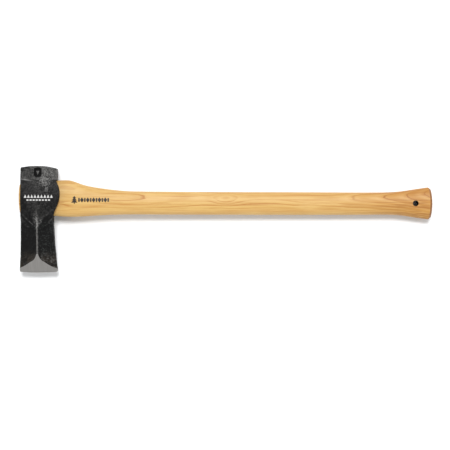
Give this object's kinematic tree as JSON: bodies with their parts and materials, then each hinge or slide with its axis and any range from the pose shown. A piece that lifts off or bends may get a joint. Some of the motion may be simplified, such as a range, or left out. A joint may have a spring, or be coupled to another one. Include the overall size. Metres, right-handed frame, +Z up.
{
  "type": "splitting maul",
  "caption": "Splitting maul: forged black steel head with hollow-ground cheeks and a bright bevel, hung on a lacquered hickory handle with wedges.",
  "frame": {"origin": "middle of the bounding box, at its base: the maul lies on one cheek and the lowest point of the eye's bulge is at Z 0", "axes": "+X along the handle from the head to the knob, +Y from the cutting edge to the poll, +Z up, across the head's thickness"},
  "size_m": [0.81, 0.209, 0.048],
  "materials": {
    "forged_steel": "black forging scale under clear lacquer, with a bright ground bevel",
    "hickory": "golden hickory under satin clear lacquer",
    "wedge_wood": "dark hardwood, end grain under lacquer",
    "wedge_steel": "bare steel, marked by hammering"
  },
  "bodies": {
    "root": {"maul_head": "forged_steel", "handle": "hickory", "wooden_wedge": "wedge_wood", "steel_wedge": "wedge_steel"}
  },
  "joints": []
}
